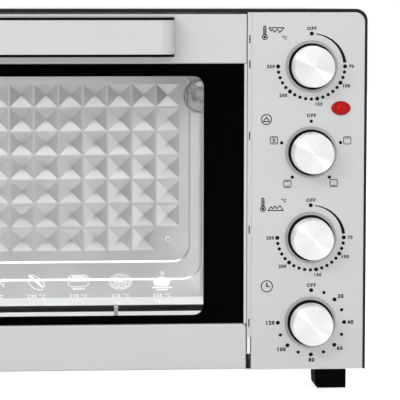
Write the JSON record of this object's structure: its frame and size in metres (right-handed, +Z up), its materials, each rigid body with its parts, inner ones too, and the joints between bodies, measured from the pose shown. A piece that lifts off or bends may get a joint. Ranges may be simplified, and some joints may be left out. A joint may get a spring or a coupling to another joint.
{
  "type": "electric countertop oven",
  "caption": "Wide countertop oven: drop-down glass door with a bow handle, a brushed steel column of rotary knobs, and a lit cavity with heating rods and fan in a painted shell on feet.",
  "frame": {"origin": "on the table plane, under the middle of the whole oven", "axes": "+Z up, -Y out through the door towards the user, +X along the front towards the controls"},
  "size_m": [0.596, 0.405, 0.3655],
  "materials": {
    "black_enamel": "black satin enamel",
    "galvanised_steel": "zinc coated, dull",
    "brushed_steel": "fine horizontal brushing",
    "door_sheet_steel": "plain pressed sheet",
    "liner_steel": "satin, pressed",
    "silver_plastic": "silver paint on plastic",
    "spun_aluminium": "spun face, satin side",
    "black_plastic": "moulded, fine grain",
    "control_plastic": "dark phenolic moulding",
    "clear_glass": "clear, polished",
    "black_glass_print": "black enamel fired on the glass",
    "pale_rubber": "pale soft rubber",
    "porcelain": "unglazed",
    "rod_sheath": "dark oxidised sheath",
    "motor_steel": "laminated core, varnished coil",
    "fan_aluminium": "plain sheet",
    "red_lens": "polished red, translucent",
    "zinc_steel": "bright zinc plating"
  },
  "bodies": {
    "cabinet": {"housing_cover": "black_enamel", "back_cover": "black_enamel", "hinge_knuckles": "black_enamel", "base_plate": "galvanised_steel", "front_frame": "galvanised_steel", "control_bracket": "galvanised_steel", "heat_shield": "galvanised_steel", "fan_housing": "galvanised_steel", "control_panel": "brushed_steel", "hinge_brackets": "door_sheet_steel", "cavity_floor": "liner_steel", "cavity_ceiling": "liner_steel", "cavity_left_wall": "liner_steel", "cavity_right_wall": "liner_steel", "cavity_back_wall": "liner_steel", "feet": "black_plastic", "cord_bushing": "black_plastic", "power_lamp_body": "black_plastic", "lower_thermostat": "control_plastic", "upper_thermostat": "control_plastic", "function_switch": "control_plastic", "timer_unit": "control_plastic", "lamp_glass": "clear_glass", "lamp_bulb": "clear_glass", "foot_pads": "pale_rubber", "heater_insulators": "porcelain", "lamp_holder": "porcelain", "terminal_block": "porcelain", "lower_heater": "rod_sheath", "upper_heater": "rod_sheath", "fan_motor": "motor_steel", "power_lamp_lens": "red_lens", "cavity_screws": "zinc_steel", "heater_clips": "zinc_steel", "thermostat_sensors": "zinc_steel", "foot_screws": "zinc_steel", "housing_screws": "zinc_steel", "hinge_pins": "zinc_steel"},
    "door": {"door_top_panel": "brushed_steel", "door_bottom_panel": "brushed_steel", "door_frame": "door_sheet_steel", "door_glass": "clear_glass", "glass_print": "black_glass_print", "handle_core": "black_plastic", "handle_strip": "brushed_steel", "handle_end_caps": "silver_plastic", "handle_screws": "zinc_steel"},
    "timer_knob": {"timer_knob_skirt": "black_plastic", "timer_knob_cap": "spun_aluminium", "timer_knob_shaft": "zinc_steel"},
    "lower_temperature_knob": {"lower_temperature_knob_skirt": "black_plastic", "lower_temperature_knob_cap": "spun_aluminium", "lower_temperature_knob_shaft": "zinc_steel"},
    "function_knob": {"function_knob_skirt": "black_plastic", "function_knob_cap": "spun_aluminium", "function_knob_shaft": "zinc_steel"},
    "upper_temperature_knob": {"upper_temperature_knob_skirt": "black_plastic", "upper_temperature_knob_cap": "spun_aluminium", "upper_temperature_knob_shaft": "zinc_steel"},
    "fan": {"fan_wheel": "fan_aluminium"}
  },
  "joints": [
    {"name": "door_hinge", "type": "hinge", "parent": "cabinet", "child": "door", "pos_m": [0, -0.1605, 0.033], "axis": [1, 0, 0], "range_deg": [0, 85], "stiffness_Nm_per_rad": 2, "springref_deg": -20.05},
    {"name": "timer_knob_turn", "type": "hinge", "parent": "cabinet", "child": "timer_knob", "pos_m": [0.2453, -0.1745, 0.0703], "axis": [0, 1, 0], "range_deg": [0, 270]},
    {"name": "lower_temperature_knob_turn", "type": "hinge", "parent": "cabinet", "child": "lower_temperature_knob", "pos_m": [0.2453, -0.1745, 0.1508], "axis": [0, 1, 0], "range_deg": [0, 270]},
    {"name": "function_knob_turn", "type": "hinge", "parent": "cabinet", "child": "function_knob", "pos_m": [0.2453, -0.1745, 0.2313], "axis": [0, 1, 0], "range_deg": [0, 288]},
    {"name": "upper_temperature_knob_turn", "type": "hinge", "parent": "cabinet", "child": "upper_temperature_knob", "pos_m": [0.2453, -0.1745, 0.3118], "axis": [0, 1, 0], "range_deg": [0, 270]},
    {"name": "fan_spin", "type": "hinge", "parent": "cabinet", "child": "fan", "pos_m": [0.19, 0.0155, 0.2088], "axis": [1, 0, 0], "continuous": true}
  ]
}
